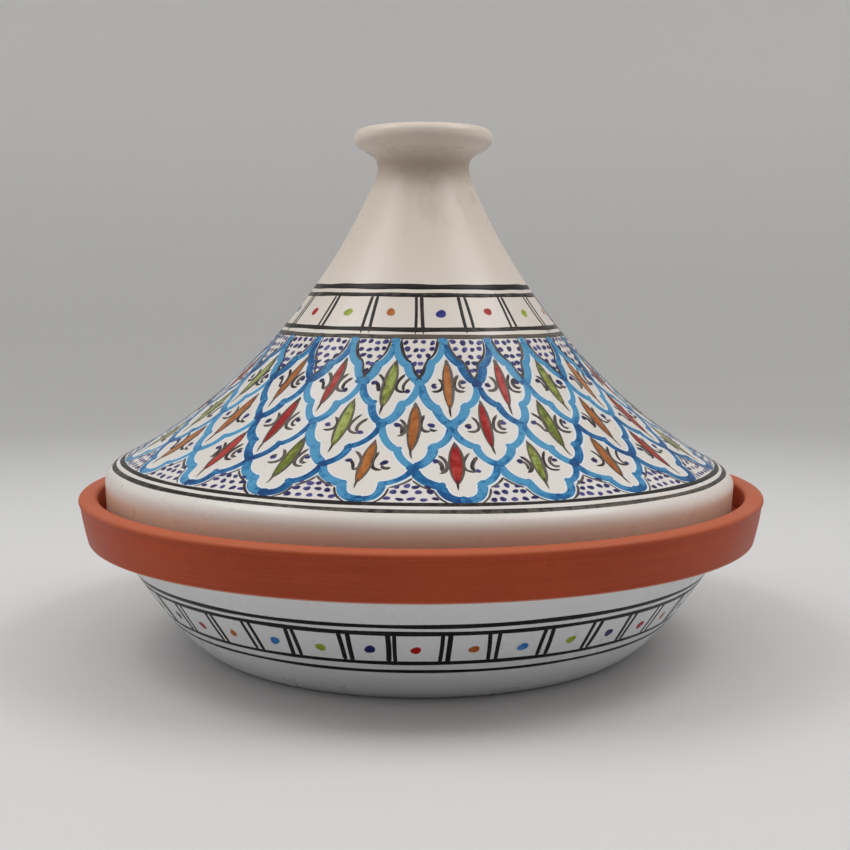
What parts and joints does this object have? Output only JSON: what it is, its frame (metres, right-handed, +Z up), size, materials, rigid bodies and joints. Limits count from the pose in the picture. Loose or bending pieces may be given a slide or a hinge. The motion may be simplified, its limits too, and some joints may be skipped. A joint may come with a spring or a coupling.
{
  "type": "tagine pot",
  "caption": "Shallow flared clay dish with a thick bare collar and a painted conical lid with a cup-shaped knob that lifts off.",
  "frame": {"origin": "centre of the dish's flat foot, on the surface that the pot stands on", "axes": "+Z up along the axis that the dish and the lid were turned on, -Y towards the viewer, +X to the viewer's right"},
  "size_m": [0.3, 0.3, 0.225],
  "materials": {
    "terracotta": "matte",
    "cream_glaze": "gloss",
    "white_glaze": "gloss",
    "clear_glaze": "gloss",
    "turquoise_paint": "gloss",
    "black_paint": "gloss",
    "cobalt_paint": "gloss",
    "red_paint": "gloss",
    "orange_paint": "gloss",
    "green_paint": "gloss"
  },
  "bodies": {
    "dish": {"dish": "terracotta"},
    "lid": {"lid": "cream_glaze"}
  },
  "joints": [
    {"name": "lid_lift", "type": "slide", "parent": "dish", "child": "lid", "axis": [0, 0, 1], "range_m": [0, 0.15]}
  ]
}
